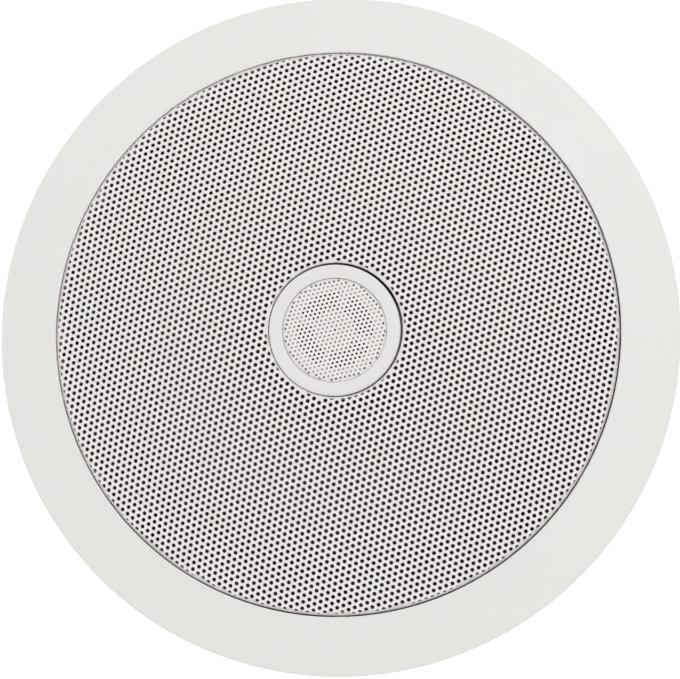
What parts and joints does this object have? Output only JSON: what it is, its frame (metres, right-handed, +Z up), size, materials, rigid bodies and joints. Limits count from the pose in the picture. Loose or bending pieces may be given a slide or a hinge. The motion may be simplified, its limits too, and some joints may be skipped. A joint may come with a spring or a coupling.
{
  "type": "in-ceiling speaker",
  "caption": "Round in-ceiling two-way speaker: sloping white flange, domed perforated grille with the tweeter in its centre, swing-out clamps behind.",
  "frame": {"origin": "on the speaker's axis, at the plane where the flange bears on the ceiling", "axes": "+Z up into the ceiling void, the grille faces -Z into the room; the picture's right is +X and its top is -Y"},
  "size_m": [0.204, 0.204, 0.1089],
  "materials": {
    "white_abs": "satin moulded white",
    "white_steel": "white powder coat",
    "bezel_abs": "satin moulded white",
    "mesh_steel": "white powder coat",
    "film": "thin formed film",
    "copper": "enamelled copper wire",
    "zinc_steel": "zinc plated",
    "neodymium": "nickel plated",
    "black_abs": "textured black",
    "black_steel": "black paint",
    "foam": "closed-cell foam",
    "black_rubber": "matt rubber",
    "black_paper": "pressed black pulp",
    "former": "rolled foil",
    "spider_cloth": "resin-treated cloth",
    "ferrite": "sintered ferrite",
    "black_screw": "black zinc",
    "board": "printed board",
    "capacitor_sleeve": "shrink sleeve",
    "resistor_body": "ceramic body",
    "brass": "tinned brass",
    "phenolic": "phenolic sheet",
    "tinsel": "braided tinsel",
    "lead_jacket": "vinyl jacket",
    "red_abs": "moulded red",
    "lever_abs": "moulded black",
    "clamp_nylon": "glass-filled nylon"
  },
  "bodies": {
    "frame": {"mounting_frame": "white_abs", "tweeter_bezel": "bezel_abs", "tweeter_mesh": "mesh_steel", "tweeter_diaphragm": "film", "tweeter_voice_coil": "copper", "tweeter_pole_plate": "zinc_steel", "tweeter_magnet": "neodymium", "tweeter_yoke": "zinc_steel", "tweeter_lid": "black_abs", "tweeter_post": "zinc_steel", "post_nut": "zinc_steel", "woofer_basket": "black_steel", "woofer_gasket": "foam", "woofer_surround": "black_rubber", "woofer_spider": "spider_cloth", "woofer_top_plate": "zinc_steel", "woofer_magnet": "ferrite", "woofer_yoke": "zinc_steel", "basket_rivets": "zinc_steel", "woofer_screws": "black_screw", "crossover_tray": "black_abs", "crossover_board": "board", "board_screws": "zinc_steel", "capacitor": "capacitor_sleeve", "inductor_bobbin": "black_abs", "inductor_winding": "copper", "resistor": "resistor_body", "terminal_block": "black_abs", "terminal_contacts": "brass", "tag_strip": "phenolic", "solder_tags": "brass", "tinsel_leads": "tinsel", "woofer_leads": "lead_jacket", "tweeter_leads": "lead_jacket"},
    "grille": {"front_grille": "white_steel"},
    "cone": {"woofer_cone": "black_paper", "woofer_former": "former", "woofer_winding": "copper"},
    "lever_red": {"terminal_lever_red": "red_abs"},
    "lever_black": {"terminal_lever_black": "lever_abs"},
    "clamp_turner_1": {"clamp_screw_1": "zinc_steel"},
    "clamp_dog_1": {"clamp_arm_1": "clamp_nylon"},
    "clamp_turner_2": {"clamp_screw_2": "zinc_steel"},
    "clamp_dog_2": {"clamp_arm_2": "clamp_nylon"},
    "clamp_turner_3": {"clamp_screw_3": "zinc_steel"},
    "clamp_dog_3": {"clamp_arm_3": "clamp_nylon"},
    "clamp_turner_4": {"clamp_screw_4": "zinc_steel"},
    "clamp_dog_4": {"clamp_arm_4": "clamp_nylon"}
  },
  "joints": [
    {"name": "grille_pull", "type": "slide", "parent": "frame", "child": "grille", "axis": [0, 0, -1], "range_m": [0, 0.03]},
    {"name": "cone_travel", "type": "slide", "parent": "frame", "child": "cone", "axis": [0, 0, 1], "range_m": [-0.004, 0.004], "stiffness_N_per_m": 1500, "deforming": ["woofer_surround", "woofer_spider", "tinsel_leads"]},
    {"name": "clamp_swing_1", "type": "hinge", "parent": "frame", "child": "clamp_turner_1", "pos_m": [0.05622, 0.05622, 0.03], "axis": [0, 0, -1], "range_deg": [0, 90]},
    {"name": "clamp_grip_1", "type": "slide", "parent": "clamp_turner_1", "child": "clamp_dog_1", "axis": [0, 0, -1], "range_m": [0, 0.031]},
    {"name": "clamp_swing_2", "type": "hinge", "parent": "frame", "child": "clamp_turner_2", "pos_m": [-0.05622, 0.05622, 0.03], "axis": [0, 0, -1], "range_deg": [0, 90]},
    {"name": "clamp_grip_2", "type": "slide", "parent": "clamp_turner_2", "child": "clamp_dog_2", "axis": [0, 0, -1], "range_m": [0, 0.031]},
    {"name": "clamp_swing_3", "type": "hinge", "parent": "frame", "child": "clamp_turner_3", "pos_m": [-0.05622, -0.05622, 0.03], "axis": [0, 0, -1], "range_deg": [0, 90]},
    {"name": "clamp_grip_3", "type": "slide", "parent": "clamp_turner_3", "child": "clamp_dog_3", "axis": [0, 0, -1], "range_m": [0, 0.031]},
    {"name": "clamp_swing_4", "type": "hinge", "parent": "frame", "child": "clamp_turner_4", "pos_m": [0.05622, -0.05622, 0.03], "axis": [0, 0, -1], "range_deg": [0, 90]},
    {"name": "clamp_grip_4", "type": "slide", "parent": "clamp_turner_4", "child": "clamp_dog_4", "axis": [0, 0, -1], "range_m": [0, 0.031]},
    {"name": "lever_press_red", "type": "slide", "parent": "frame", "child": "lever_red", "axis": [0, 0, -1], "range_m": [0, 0.0025], "stiffness_N_per_m": 800},
    {"name": "lever_press_black", "type": "slide", "parent": "frame", "child": "lever_black", "axis": [0, 0, -1], "range_m": [0, 0.0025], "stiffness_N_per_m": 800}
  ]
}
